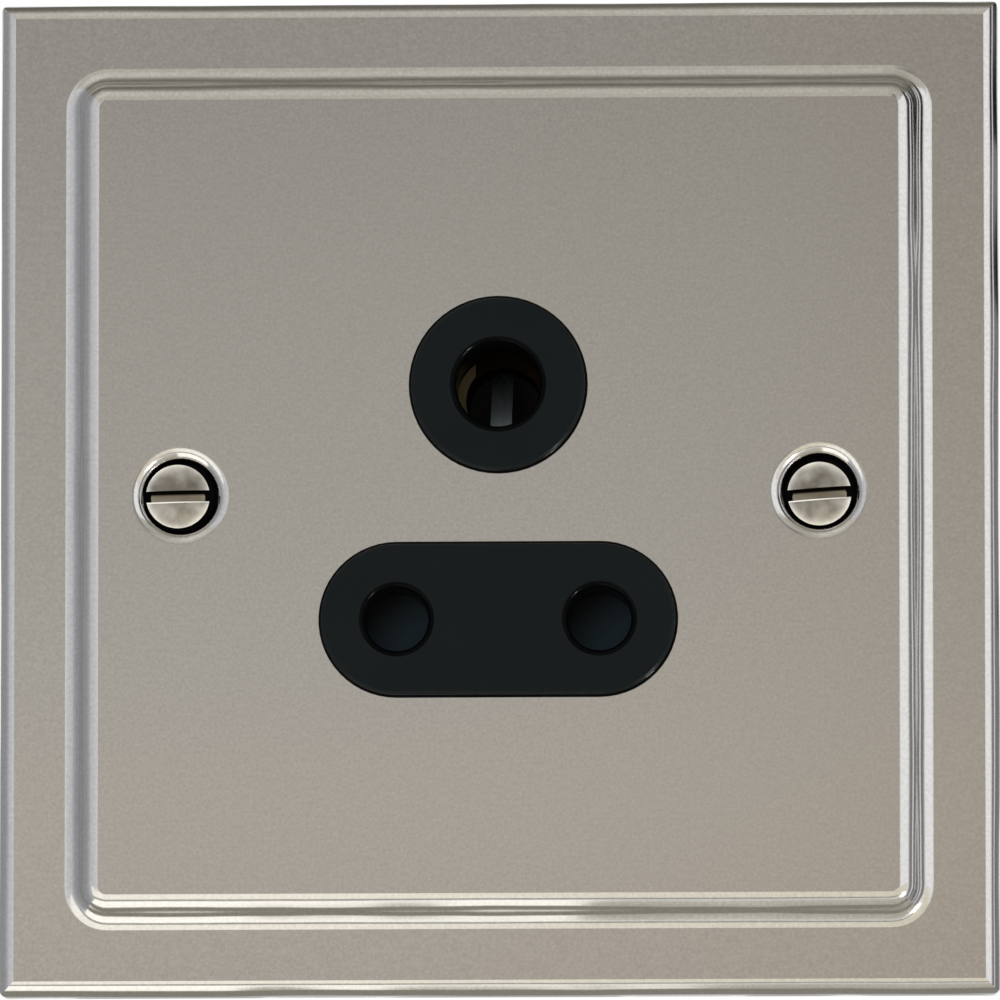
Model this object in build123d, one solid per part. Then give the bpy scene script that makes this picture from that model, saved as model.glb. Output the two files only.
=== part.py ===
from build123d import *
from math import atan, cos, radians, sin, tan
import os

os.makedirs("parts", exist_ok=True)

# All sizes are in millimetres. The socket is modelled lying on its back: x to the right and y up, as seen
# from the front, and z out of the wall, with z = 0 on the wall. upright() then stands it up.

# Pressed plate
PLATE_SIDE = 94.0
PLATE_CORNER = 0.8
SHEET = 0.9
BORDER_WIDTH = 6.2
BORDER_HEIGHT = 2.6
EDGE_ROUND = 1.4
STEP_WIDTH = 3.2
STEP_HEIGHT = 1.8
STEP_CORNER = 4.0

# Round pins of the plug, and where they enter
PIN_SPACING = 19.05
EARTH_RISE = 22.2
EARTH_PIN = 7.06
EARTH_PIN_LENGTH = 20.6
LIVE_PIN = 5.08
LIVE_PIN_LENGTH = 14.9
PIN_PLAY = 0.85
PIN_GROUP_DROP = 0.7

# Bosses of the front moulding that show through the plate
EARTH_BOSS = 16.35
LIVE_BOSS = 14.25
BOSS_STAND = 0.6
BOSS_EDGE = 0.3
BOSS_GAP = 0.25
HOLE_ROUND = 0.6
HOLE_DEPTH = 6.2

# Fixing screws to the wall box, in drawn dimples of the plate
FIXING_SPACING = 60.3
FIXING_THREAD = 3.5
FIXING_NECK = 3.0
FIXING_HEAD = 6.0
FIXING_LENGTH = 25.0
HEAD_DOME = 0.35
HEAD_SINK = 0.4
HEAD_SLOT = 0.9
HEAD_SLOT_DEPTH = 0.9
SLOT_TURN_LEFT = 1.2
SLOT_TURN_RIGHT = 4.0
DIMPLE_HOLE = 6.7
DIMPLE_ROUND = 1.25
COLLAR_DROP = 0.5
LEFT_DIMPLE_IN = 0.25
RIGHT_DIMPLE_UP = 0.25
SCREW_PLAY = 0.25

# Mouldings
FLANGE_INSET = 1.2
FLANGE_HEIGHT = 58.0
FLANGE_THICKNESS = 3.0
MOULD_CORNER = 4.0
WALL = 2.4
REAR_WALL = 1.8
FIT = 0.2
CLOSE_FIT = 0.05
REAR_EDGE = 1.0
CORE_CORNER = 1.0

# Sliding shutter with its ramp and spring
SHUTTER_THICKNESS = 2.0
LAND_LAP = 0.5
STEM_WIDTH = 8.0
STEM_BRIDGE = 1.8
WINDOW_SILL = 0.9
RAMP_WIDTH = 2.0
RAMP_SLOPE = 45.0
RAMP_THICKNESS = 1.8
SPRING_DIAMETER = 2.0
SPRING_WIRE = 0.4
SPRING_COILS = 6.0
SPRING_SEAT = 1.6

# Contacts, terminals and the strap that earths the plate
STRIP = 0.9
LIVE_SETBACK = 0.6
EARTH_SETBACK = 4.6
LEAF_PLAY = 1.6
PIN_END_ROOM = 0.9
LIVE_SPLIT = 1.0
TAIL_WIDTH = 6.0
TERMINAL_REACH = 10.6
TERMINAL_SIDE = 8.4
TERMINAL_HEIGHT = 7.4
TERMINAL_EDGE = 0.4
TERMINAL_ROOF = 0.9
CONDUCTOR_HOLE = 3.8
CLAMP_SCREW = 3.5
CLAMP_HEAD = 5.8
CLAMP_HEAD_HEIGHT = 2.0
CLAMP_SLOT = 0.8
SPIGOT = 3.2
SPIGOT_HEAD = 4.8
SPIGOT_HEAD_HEIGHT = 0.7
STRAP = 0.6
STRAP_WIDTH = 5.0

# Screws between the mouldings, and studs that hold the plate
CASE_SCREW = 3.0
CASE_SCREW_HEAD = 5.4
CASE_HEAD_HEIGHT = 1.6
CASE_SCREW_LENGTH = 10.0
CASE_SCREW_DEEP = 5.4
CASE_SCREW_OUT = 11.4
CASE_SCREW_RISE = 3.5
CASE_SCREW_DROP = 23.5
STUD = 3.0
STUD_BASE = 4.8
STUD_BASE_HEIGHT = 0.5
STUD_REACH = 26.0
STUD_END = 1.2
WASHER = 6.4
WASHER_HEIGHT = 0.5
NUT_FLATS = 5.5
NUT_HEIGHT = 2.4

# Levels above the wall
panel_top = BORDER_HEIGHT + STEP_HEIGHT
panel_under = panel_top - SHEET
boss_face = panel_top + BOSS_STAND
flange_back = panel_under - FLANGE_THICKNESS
pocket_roof = boss_face - HOLE_DEPTH
joint_plane = pocket_roof - SHUTTER_THICKNESS - 2 * FIT
shutter_top = pocket_roof - FIT
shutter_under = shutter_top - SHUTTER_THICKNESS
live_front = joint_plane - LIVE_SETBACK
earth_front = joint_plane - EARTH_SETBACK
tail_top = boss_face - LIVE_PIN_LENGTH - PIN_END_ROOM
tail_under = tail_top - STRIP
earth_sleeve_end = boss_face - EARTH_PIN_LENGTH - PIN_END_ROOM
terminal_under = tail_under - TERMINAL_HEIGHT
housing_floor = terminal_under - FIT
housing_back = housing_floor - REAR_WALL
conductor_level = tail_under - TERMINAL_ROOF - CONDUCTOR_HOLE / 2

# Plan positions
mould_y = -PIN_GROUP_DROP
earth_y = mould_y + EARTH_RISE / 2
live_y = mould_y - EARTH_RISE / 2
live_x = PIN_SPACING / 2
fixing_x = FIXING_SPACING / 2
dimple_points = [(LEFT_DIMPLE_IN - fixing_x, 0), (fixing_x, RIGHT_DIMPLE_UP)]
earth_terminal_y = earth_y + TERMINAL_REACH
live_terminal_y = live_y - TERMINAL_REACH
body_half_width = live_x + TERMINAL_SIDE / 2 + FIT + WALL
body_half_height = EARTH_RISE / 2 + TERMINAL_REACH + TERMINAL_SIDE / 2 + FIT + WALL
step_foot = PLATE_SIDE / 2 - BORDER_WIDTH
step_crest = step_foot - STEP_WIDTH
flange_half_width = step_crest - FLANGE_INSET
earth_hole_radius = (EARTH_PIN + PIN_PLAY) / 2
live_hole_radius = (LIVE_PIN + PIN_PLAY) / 2
stud_points = [(x, y) for x in (-STUD_REACH, STUD_REACH) for y in (live_terminal_y, earth_terminal_y)]
case_screw_points = [
    (-CASE_SCREW_OUT, mould_y + CASE_SCREW_RISE),
    (CASE_SCREW_OUT, mould_y + CASE_SCREW_RISE),
    (0, mould_y - CASE_SCREW_DROP),
]

# Sliding shutter: the lands close the line and neutral holes, and one travel takes them clear
travel = 2 * live_hole_radius + LAND_LAP
land_top = live_y + live_hole_radius + LAND_LAP
land_bottom = live_y - live_hole_radius - LAND_LAP
bar_half_length = live_x + live_hole_radius + LAND_LAP
stem_top = earth_y - earth_hole_radius - FIT
ramp_tip = earth_y - EARTH_PIN / 2 - FIT + travel
ramp_drop = (ramp_tip - stem_top) * tan(radians(RAMP_SLOPE))
window_bottom = land_top + WINDOW_SILL
window_top = stem_top - STEM_BRIDGE
window_half_width = SPRING_DIAMETER / 2 + FIT
seat_bottom = window_bottom + FIT
seat_top = seat_bottom + SPRING_SEAT
spring_level = (pocket_roof + joint_plane) / 2


def upright(shape):
    """Stand a piece up: y becomes up and the front faces -Y."""
    return Rot(90, 0, 0) * shape


def block(outline, bottom, top):
    """A prism of a flat outline between two levels."""
    return extrude(Pos(0, 0, bottom) * outline, top - bottom)


def rod(x, y, radius, bottom, top):
    """A round bar standing at a point of the plan."""
    return block(Pos(x, y) * Circle(radius), bottom, top)


def box(x0, x1, y0, y1, bottom, top):
    """A rectangular block given by its limits."""
    return block(Pos((x0 + x1) / 2, (y0 + y1) / 2) * Rectangle(x1 - x0, y1 - y0), bottom, top)


def section(edges):
    """A face in the upright section plane, with the edges drawn as (distance, level)."""
    return Rot(90, 0, 0) * make_face(edges)


# The plate is a pressing: the same form, drawn once on the outside and once a sheet thickness inside it
step_radius = (STEP_WIDTH**2 + STEP_HEIGHT**2) / (4 * STEP_HEIGHT)
step_angle = 2 * atan(STEP_HEIGHT / STEP_WIDTH)


def edge_section(inset, bottom):
    """Half-round edged section across the whole plate."""
    half = PLATE_SIDE / 2 - inset
    top = BORDER_HEIGHT - inset
    r = EDGE_ROUND - inset
    bow = r * (1 - sin(radians(45)))
    return section(
        [
            Line((-half, bottom), (half, bottom)),
            Line((half, bottom), (half, top - r)),
            ThreePointArc((half, top - r), (half - bow, top - bow), (half - r, top)),
            Line((half - r, top), (r - half, top)),
            ThreePointArc((r - half, top), (bow - half, top - bow), (-half, top - r)),
            Line((-half, top - r), (-half, bottom)),
        ]
    )


def flank(foot, inset):
    """Ogee flank of the step from its foot inwards, as the corner points of its two arcs."""
    crest = foot - STEP_WIDTH
    cove = step_radius + inset
    nose = step_radius - inset
    points = []
    for turn in (0, step_angle / 2, step_angle):
        points.append((foot - cove * sin(turn), BORDER_HEIGHT + step_radius - cove * cos(turn)))
    for turn in (step_angle / 2, 0):
        points.append((crest + nose * sin(turn), panel_top - step_radius + nose * cos(turn)))
    return points


def step_section(foot, inset, bottom):
    """Section from the middle out over the step to a strip of the border."""
    p = flank(foot, inset)
    skirt = foot + BORDER_WIDTH / 2
    return section(
        [
            Line((0, bottom), (skirt, bottom)),
            Line((skirt, bottom), (skirt, BORDER_HEIGHT - inset)),
            Line((skirt, BORDER_HEIGHT - inset), p[0]),
            ThreePointArc(p[0], p[1], p[2]),
            ThreePointArc(p[2], p[3], p[4]),
            Line(p[4], (0, panel_top - inset)),
            Line((0, panel_top - inset), (0, bottom)),
        ]
    )


def pressed_form(inset, bottom):
    """Solid under the plate's skin, with the skin moved inwards by the inset."""
    across = extrude(edge_section(inset, bottom), PLATE_SIDE / 2, both=True)
    form = across & Rot(0, 0, 90) * across
    corner = step_foot - STEP_CORNER
    side = extrude(step_section(step_foot, inset, bottom), corner, both=True)
    turn = revolve(step_section(STEP_CORNER, inset, bottom), Axis.Z, 90)
    for quarter in range(4):
        form += Rot(0, 0, 90 * quarter) * side
        form += Rot(0, 0, 90 * quarter) * Pos(corner, corner, 0) * turn
    return form.clean()


dimple_rim = DIMPLE_HOLE / 2 + DIMPLE_ROUND
collar_radius = DIMPLE_HOLE / 2 + SHEET
collar_end = panel_top - DIMPLE_ROUND - COLLAR_DROP
dimple_bow = DIMPLE_ROUND * sin(radians(45))
dimple_back = DIMPLE_ROUND - SHEET
dimple_back_bow = dimple_back * sin(radians(45))
dimple_section = section(
    [
        Line((dimple_rim, panel_under), (dimple_rim, panel_top)),
        ThreePointArc(
            (dimple_rim, panel_top),
            (dimple_rim - dimple_bow, panel_top - DIMPLE_ROUND + dimple_bow),
            (DIMPLE_HOLE / 2, panel_top - DIMPLE_ROUND),
        ),
        Line((DIMPLE_HOLE / 2, panel_top - DIMPLE_ROUND), (DIMPLE_HOLE / 2, collar_end)),
        Line((DIMPLE_HOLE / 2, collar_end), (collar_radius, collar_end)),
        Line((collar_radius, collar_end), (collar_radius, panel_top - DIMPLE_ROUND)),
        ThreePointArc(
            (collar_radius, panel_top - DIMPLE_ROUND),
            (dimple_rim - dimple_back_bow, panel_top - DIMPLE_ROUND + dimple_back_bow),
            (dimple_rim, panel_under),
        ),
    ]
)
dimple = revolve(dimple_section, Axis.Z)

plate_outline = RectangleRounded(PLATE_SIDE, PLATE_SIDE, PLATE_CORNER)
front_plate = (pressed_form(0, 0) & block(plate_outline, 0, panel_top)) - pressed_form(SHEET, -SHEET)
live_cutout = Pos(0, live_y) * SlotCenterToCenter(PIN_SPACING, LIVE_BOSS + 2 * BOSS_GAP)
front_plate -= rod(0, earth_y, EARTH_BOSS / 2 + BOSS_GAP, panel_under, panel_top)
front_plate -= block(live_cutout, panel_under, panel_top)
for x, y in dimple_points:
    front_plate -= rod(x, y, dimple_rim, panel_under, panel_top)
    front_plate += Pos(x, y, 0) * dimple

# Front moulding: flange behind the plate, bosses through it, and a block behind for the shutter
mouth_bow = HOLE_ROUND * (1 - sin(radians(45)))
mouth_start = boss_face - HOLE_ROUND


def pin_entry(radius):
    """The hollow of one pin hole, with its rounded mouth."""
    mouth = ThreePointArc(
        (radius, mouth_start), (radius + mouth_bow, boss_face - mouth_bow), (radius + HOLE_ROUND, boss_face)
    )
    outline = [
        Line((0, pocket_roof), (radius, pocket_roof)),
        Line((radius, pocket_roof), (radius, mouth_start)),
        mouth,
        Line((radius + HOLE_ROUND, boss_face), (0, boss_face)),
        Line((0, boss_face), (0, pocket_roof)),
    ]
    return revolve(section(outline), Axis.Z)


flange_outline = Pos(0, mould_y) * RectangleRounded(2 * flange_half_width, FLANGE_HEIGHT, MOULD_CORNER)
body_outline = Pos(0, mould_y) * RectangleRounded(2 * body_half_width, 2 * body_half_height, MOULD_CORNER)
socket_front = block(flange_outline, flange_back, panel_under)
socket_front += block(body_outline, joint_plane, flange_back)
earth_boss = rod(0, earth_y, EARTH_BOSS / 2, panel_under, boss_face)
live_boss = block(Pos(0, live_y) * SlotCenterToCenter(PIN_SPACING, LIVE_BOSS), panel_under, boss_face)
socket_front += fillet(earth_boss.edges().group_by(Axis.Z)[-1], BOSS_EDGE)
socket_front += fillet(live_boss.edges().group_by(Axis.Z)[-1], BOSS_EDGE)
socket_front -= Pos(0, earth_y, 0) * pin_entry(earth_hole_radius)
socket_front -= Pos(live_x, live_y, 0) * pin_entry(live_hole_radius)
socket_front -= Pos(-live_x, live_y, 0) * pin_entry(live_hole_radius)

# Pocket that the shutter slides in, with the spring's seat left standing in it
bar_lane = bar_half_length + FIT
stem_lane = STEM_WIDTH / 2 + FIT
seat_half = window_half_width - FIT
pocket = box(-bar_lane, bar_lane, land_bottom - travel - FIT, land_top, joint_plane, pocket_roof)
pocket += box(-stem_lane, stem_lane, land_top, earth_y, joint_plane, pocket_roof)
pocket += rod(0, earth_y, earth_hole_radius + FIT, joint_plane, pocket_roof)
socket_front -= pocket
socket_front += box(-seat_half, seat_half, seat_bottom, seat_top, shutter_under, pocket_roof)

# Lugs for the fixing screws: a groove takes the plate's collar, and a coned seat takes the screw head
head_rim = panel_top - HEAD_SINK
head_cone_end = head_rim - (FIXING_HEAD - FIXING_NECK) / 2
lug_top = collar_end + COLLAR_DROP
head_seat = Cone(FIXING_NECK / 2, FIXING_HEAD / 2, head_rim - head_cone_end)
for x, y in dimple_points:
    socket_front -= rod(x, y, dimple_rim + FIT, collar_end - FIT, panel_under)
    socket_front += rod(x, y, DIMPLE_HOLE / 2 - FIT / 2, collar_end - FIT, lug_top)
for x in (-fixing_x, fixing_x):
    socket_front -= rod(x, 0, FIXING_THREAD / 2 + SCREW_PLAY, flange_back, lug_top)
    socket_front -= Pos(x, 0, (head_rim + head_cone_end) / 2 - CLOSE_FIT) * head_seat
for x, y in stud_points:
    socket_front -= rod(x, y, STUD / 2 + SCREW_PLAY, flange_back, panel_under)
    socket_front -= rod(x, y, STUD_BASE / 2 + SCREW_PLAY, panel_under - STUD_BASE_HEIGHT - FIT, panel_under)
case_hole_end = joint_plane + CASE_SCREW_LENGTH - CASE_SCREW_DEEP + FIT
for x, y in case_screw_points:
    socket_front -= rod(x, y, CASE_SCREW / 2 + CLOSE_FIT, joint_plane, case_hole_end)

# Fixing screws: raised countersunk slotted heads, a waisted neck in the lug, then the thread
head_top = head_rim + HEAD_DOME
dome_radius = ((FIXING_HEAD / 2) ** 2 + HEAD_DOME**2) / (2 * HEAD_DOME)
dome_mid = atan(FIXING_HEAD / 2 / (dome_radius - HEAD_DOME)) / 2
head_section = section(
    [
        Line((0, head_cone_end), (FIXING_NECK / 2, head_cone_end)),
        Line((FIXING_NECK / 2, head_cone_end), (FIXING_HEAD / 2, head_rim)),
        ThreePointArc(
            (FIXING_HEAD / 2, head_rim),
            (dome_radius * sin(dome_mid), head_top - dome_radius * (1 - cos(dome_mid))),
            (0, head_top),
        ),
        Line((0, head_top), (0, head_cone_end)),
    ]
)
thread_start = flange_back - FIT
fixing_screw = revolve(head_section, Axis.Z)
fixing_screw += rod(0, 0, FIXING_NECK / 2, thread_start, head_cone_end)
fixing_screw += rod(0, 0, FIXING_THREAD / 2, head_rim - FIXING_LENGTH, thread_start)
slot_floor = head_top - HEAD_SLOT_DEPTH
head_slot = box(-FIXING_HEAD, FIXING_HEAD, -HEAD_SLOT / 2, HEAD_SLOT / 2, slot_floor, head_top)
fixing_screw_left = Pos(-fixing_x, 0, 0) * (fixing_screw - Rot(0, 0, SLOT_TURN_LEFT) * head_slot)
fixing_screw_right = Pos(fixing_x, 0, 0) * (fixing_screw - Rot(0, 0, SLOT_TURN_RIGHT) * head_slot)

# Shutter: an inverted T whose stem carries a ramp into the path of the earth pin
bar_top = land_top - CLOSE_FIT
shutter = box(-bar_half_length, bar_half_length, land_bottom, bar_top, shutter_under, shutter_top)
shutter += box(-STEM_WIDTH / 2, STEM_WIDTH / 2, bar_top, stem_top, shutter_under, shutter_top)
shutter -= box(-window_half_width, window_half_width, window_bottom, window_top, shutter_under, shutter_top)
ramp_outline = Polyline(
    (stem_top - STEM_BRIDGE, shutter_top),
    (stem_top, shutter_top),
    (ramp_tip, shutter_top - ramp_drop),
    (ramp_tip, shutter_top - ramp_drop - RAMP_THICKNESS),
    (stem_top, shutter_under),
    (stem_top - STEM_BRIDGE, shutter_under),
    close=True,
)
shutter += extrude(Plane.YZ * make_face(ramp_outline), RAMP_WIDTH / 2, both=True)

# Return spring, standing on its seat in the stem's window
spring_height = window_top - seat_top - SPRING_WIRE - 2 * CLOSE_FIT
coil = Helix(spring_height / SPRING_COILS, spring_height, (SPRING_DIAMETER - SPRING_WIRE) / 2)
shutter_spring = sweep(Plane(coil @ 0, z_dir=coil % 0) * Circle(SPRING_WIRE / 2), path=coil)
shutter_spring = Rot(-90, 0, 0) * shutter_spring
shutter_spring = Pos(0, seat_top + SPRING_WIRE / 2 + CLOSE_FIT, spring_level) * shutter_spring


def contact(x, y, pin, split, front, sleeve_end, bore_end, terminal_y):
    """Split sleeve that grips one pin, with a tail to its terminal."""
    way = 1 if terminal_y > y else -1
    tail_end = terminal_y + way * TERMINAL_SIDE / 2
    half = TAIL_WIDTH / 2
    reach = pin / 2 + 2 * STRIP
    piece = rod(x, y, pin / 2 + STRIP, sleeve_end, front)
    piece += box(x - half, x + half, min(y, tail_end), max(y, tail_end), tail_under, tail_top)
    piece -= rod(x, y, pin / 2, bore_end, front)
    piece -= box(x - split / 2, x + split / 2, y - reach, y + reach, tail_top, front)
    piece -= rod(x, terminal_y, SPIGOT / 2 + CLOSE_FIT, tail_under, tail_top)
    return piece


def terminal(x, y, under_head):
    """Brass block with a cross hole for the conductor and a spigot riveted over the contact's tail."""
    half = TERMINAL_SIDE / 2
    piece = box(x - half, x + half, y - half, y + half, terminal_under, tail_under)
    piece = chamfer(piece.edges().filter_by(Axis.Z), TERMINAL_EDGE)
    piece += rod(x, y, SPIGOT / 2, tail_under, under_head)
    piece += rod(x, y, SPIGOT_HEAD / 2, under_head, under_head + SPIGOT_HEAD_HEIGHT)
    cross = Pos(x, y, conductor_level) * Rot(90, 0, 0) * Cylinder(CONDUCTOR_HOLE / 2, TERMINAL_SIDE * 2)
    piece -= cross
    piece -= rod(x, y, CLAMP_SCREW / 2 + CLOSE_FIT, terminal_under, conductor_level)
    return piece


def driver_slot(x, y, head, bottom):
    """Cut across the head of a screw that faces the back."""
    half = CLAMP_SLOT / 2
    return box(x - head, x + head, y - half, y + half, bottom, bottom + CLAMP_SLOT)


def terminal_screw(x, y):
    """Slotted clamp screw, entered from the back of the socket."""
    head_end = terminal_under - CLAMP_HEAD_HEIGHT
    piece = rod(x, y, CLAMP_SCREW / 2, terminal_under, conductor_level - CONDUCTOR_HOLE / 2)
    piece += rod(x, y, CLAMP_HEAD / 2, head_end, terminal_under)
    piece -= driver_slot(x, y, CLAMP_HEAD, head_end)
    return piece


earth_split = RAMP_WIDTH + 2 * LEAF_PLAY
earth_contact = contact(
    0, earth_y, EARTH_PIN, earth_split, earth_front, earth_sleeve_end, earth_sleeve_end, earth_terminal_y
)
line_contact = contact(
    live_x, live_y, LIVE_PIN, LIVE_SPLIT, live_front, tail_under, tail_top, live_terminal_y
)
neutral_contact = contact(
    -live_x, live_y, LIVE_PIN, LIVE_SPLIT, live_front, tail_under, tail_top, live_terminal_y
)
earth_terminal = terminal(0, earth_terminal_y, tail_top + STRAP)
line_terminal = terminal(live_x, live_terminal_y, tail_top)
neutral_terminal = terminal(-live_x, live_terminal_y, tail_top)
earth_terminal_screw = terminal_screw(0, earth_terminal_y)
line_terminal_screw = terminal_screw(live_x, live_terminal_y)
neutral_terminal_screw = terminal_screw(-live_x, live_terminal_y)

# Rear housing: carries the contacts and terminals, and is closed by the front moulding
rear_housing = block(body_outline, housing_back, joint_plane)
rear_housing = fillet(rear_housing.edges().group_by(Axis.Z)[0], REAR_EDGE)
rear_housing -= rod(0, earth_y, EARTH_PIN / 2 + STRIP + FIT, earth_sleeve_end - FIT, joint_plane)
rear_housing -= box(
    -RAMP_WIDTH / 2 - FIT,
    RAMP_WIDTH / 2 + FIT,
    stem_top - STEM_BRIDGE - travel - FIT,
    earth_y,
    shutter_top - ramp_drop - RAMP_THICKNESS - FIT,
    joint_plane,
)
terminal_points = [
    (0, earth_y, earth_terminal_y, 1),
    (live_x, live_y, live_terminal_y, -1),
    (-live_x, live_y, live_terminal_y, -1),
]
for x, pin_y, y, way in terminal_points:
    room = TERMINAL_SIDE / 2 + FIT
    lane = TAIL_WIDTH / 2 + FIT
    rear_housing -= box(x - room, x + room, y - room, y + room, housing_floor, joint_plane)
    rear_housing -= box(x - lane, x + lane, min(pin_y, y), max(pin_y, y), tail_under, joint_plane)
    rear_housing -= rod(x, y, CLAMP_HEAD / 2 + FIT, housing_back, housing_floor)
    entry = Pos(x, y + way * TERMINAL_SIDE, conductor_level) * Rot(90, 0, 0)
    rear_housing -= entry * Cylinder(CONDUCTOR_HOLE / 2 + FIT, TERMINAL_SIDE * 2)
for x in (live_x, -live_x):
    rear_housing -= rod(x, live_y, LIVE_PIN / 2 + STRIP + FIT, tail_under, joint_plane)
rear_housing -= box(
    0,
    body_half_width,
    earth_terminal_y - STRAP_WIDTH / 2 - FIT,
    earth_terminal_y + STRAP_WIDTH / 2 + FIT,
    tail_top - CLOSE_FIT,
    joint_plane,
)
case_seat = joint_plane - CASE_SCREW_DEEP
case_head_room = CASE_SCREW_HEAD / 2 + FIT
for x, y in case_screw_points:
    rear_housing -= rod(x, y, CASE_SCREW / 2 + FIT, case_seat, joint_plane)
    rear_housing -= rod(x, y, case_head_room, housing_back, case_seat)

# Hollows cored into the back of the rear housing, so that its walls are even
core_roof = tail_under - WALL
side_in = TERMINAL_SIDE / 2 + FIT + WALL
side_out = body_half_width - WALL
side_bottom = mould_y + CASE_SCREW_RISE + case_head_room + WALL
side_top = mould_y + body_half_height - WALL
middle_half = live_x - side_in
middle_bottom = mould_y - CASE_SCREW_DROP + case_head_room + WALL
middle_top = earth_y - EARTH_PIN / 2 - STRIP - FIT - WALL
cores = [
    (-side_out, -side_in, side_bottom, side_top),
    (side_in, side_out, side_bottom, side_top),
    (-middle_half, middle_half, middle_bottom, middle_top),
]
for x0, x1, y0, y1 in cores:
    outline = RectangleRounded(x1 - x0, y1 - y0, CORE_CORNER)
    rear_housing -= block(Pos((x0 + x1) / 2, (y0 + y1) / 2) * outline, housing_back, core_roof)

# Self-tapping screws that hold the two mouldings together
housing_screws = []
for x, y in case_screw_points:
    piece = rod(x, y, CASE_SCREW / 2, case_seat, case_seat + CASE_SCREW_LENGTH)
    piece += rod(x, y, CASE_SCREW_HEAD / 2, case_seat - CASE_HEAD_HEIGHT, case_seat)
    piece -= driver_slot(x, y, CASE_SCREW_HEAD, case_seat - CASE_HEAD_HEIGHT)
    housing_screws.append(piece)

# Studs welded behind the plate, with washers and nuts; the strap's tag lies under one of the nuts
washer_under = flange_back - WASHER_HEIGHT
strap_point = (STUD_REACH, earth_terminal_y)
plate_studs = []
stud_washers = []
stud_nuts = []
for x, y in stud_points:
    nut_top = washer_under - STRAP if (x, y) == strap_point else washer_under
    stud = rod(x, y, STUD / 2, washer_under - NUT_HEIGHT - STUD_END, panel_under)
    stud += rod(x, y, STUD_BASE / 2, panel_under - STUD_BASE_HEIGHT, panel_under)
    plate_studs.append(stud)
    ring = Circle(WASHER / 2) - Circle(STUD / 2 + SCREW_PLAY)
    stud_washers.append(block(Pos(x, y) * ring, washer_under, flange_back))
    hexagon = RegularPolygon(NUT_FLATS / 2, 6, major_radius=False) - Circle(STUD / 2 + CLOSE_FIT)
    stud_nuts.append(block(Pos(x, y) * hexagon, nut_top - NUT_HEIGHT, nut_top))

# Earth strap: from its tag on the stud, down the side of the housing and in under the terminal's spigot
strap_leg_x = body_half_width + FIT + STRAP
strap_path = Polyline(
    (STUD_REACH, washer_under - STRAP / 2),
    (strap_leg_x, washer_under - STRAP / 2),
    (strap_leg_x, tail_top + STRAP / 2),
    (-TAIL_WIDTH / 2, tail_top + STRAP / 2),
)
strap_line = Rot(90, 0, 0) * trace(strap_path, STRAP)
earth_strap = Pos(0, earth_terminal_y, 0) * extrude(strap_line, STRAP_WIDTH / 2, both=True)
earth_strap += rod(STUD_REACH, earth_terminal_y, WASHER / 2, washer_under - STRAP, washer_under)
earth_strap -= rod(STUD_REACH, earth_terminal_y, STUD / 2 + SCREW_PLAY, washer_under - STRAP, washer_under)
earth_strap -= rod(0, earth_terminal_y, SPIGOT / 2 + CLOSE_FIT, tail_top, tail_top + STRAP)

pieces = {
    "front_plate": front_plate,
    "socket_front": socket_front,
    "fixing_screw_left": fixing_screw_left,
    "fixing_screw_right": fixing_screw_right,
    "shutter": shutter,
    "shutter_spring": shutter_spring,
    "rear_housing": rear_housing,
    "earth_contact": earth_contact,
    "line_contact": line_contact,
    "neutral_contact": neutral_contact,
    "earth_terminal": earth_terminal,
    "line_terminal": line_terminal,
    "neutral_terminal": neutral_terminal,
    "earth_terminal_screw": earth_terminal_screw,
    "line_terminal_screw": line_terminal_screw,
    "neutral_terminal_screw": neutral_terminal_screw,
    "housing_screws": housing_screws,
    "plate_studs": plate_studs,
    "stud_washers": stud_washers,
    "stud_nuts": stud_nuts,
    "earth_strap": earth_strap,
}
for name, piece in pieces.items():
    group = piece if isinstance(piece, list) else [piece]
    export_step(Compound(children=[upright(p) for p in group]), f"parts/{name}.step")
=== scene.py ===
import math
import bmesh
import bpy
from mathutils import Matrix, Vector


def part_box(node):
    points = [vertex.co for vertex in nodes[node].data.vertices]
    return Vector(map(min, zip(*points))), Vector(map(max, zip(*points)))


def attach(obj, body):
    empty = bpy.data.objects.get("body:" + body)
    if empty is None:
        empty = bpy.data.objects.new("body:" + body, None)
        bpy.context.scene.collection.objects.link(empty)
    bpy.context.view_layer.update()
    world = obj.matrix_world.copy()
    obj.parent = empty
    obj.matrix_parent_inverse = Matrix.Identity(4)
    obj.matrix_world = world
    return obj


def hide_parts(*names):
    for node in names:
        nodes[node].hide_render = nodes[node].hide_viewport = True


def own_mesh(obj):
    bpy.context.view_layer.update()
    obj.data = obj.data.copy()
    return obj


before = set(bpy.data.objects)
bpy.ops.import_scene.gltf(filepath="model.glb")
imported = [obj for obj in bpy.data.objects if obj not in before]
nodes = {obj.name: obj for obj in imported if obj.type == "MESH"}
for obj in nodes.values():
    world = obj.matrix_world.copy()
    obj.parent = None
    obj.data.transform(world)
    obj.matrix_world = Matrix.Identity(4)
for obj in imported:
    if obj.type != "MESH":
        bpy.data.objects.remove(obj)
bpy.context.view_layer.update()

# Rear housing: the black box at the back that carries the contacts and their terminals.
# It is compression moulded in thermoset, so it is satin with a fine grain and faint flow marks,
# and three self-tapping screws close it onto the front moulding.
REAR_DARK = (0.006, 0.007, 0.0075)
REAR_LIGHT = (0.015, 0.017, 0.018)
FLOW_SHARE = 0.7


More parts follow.
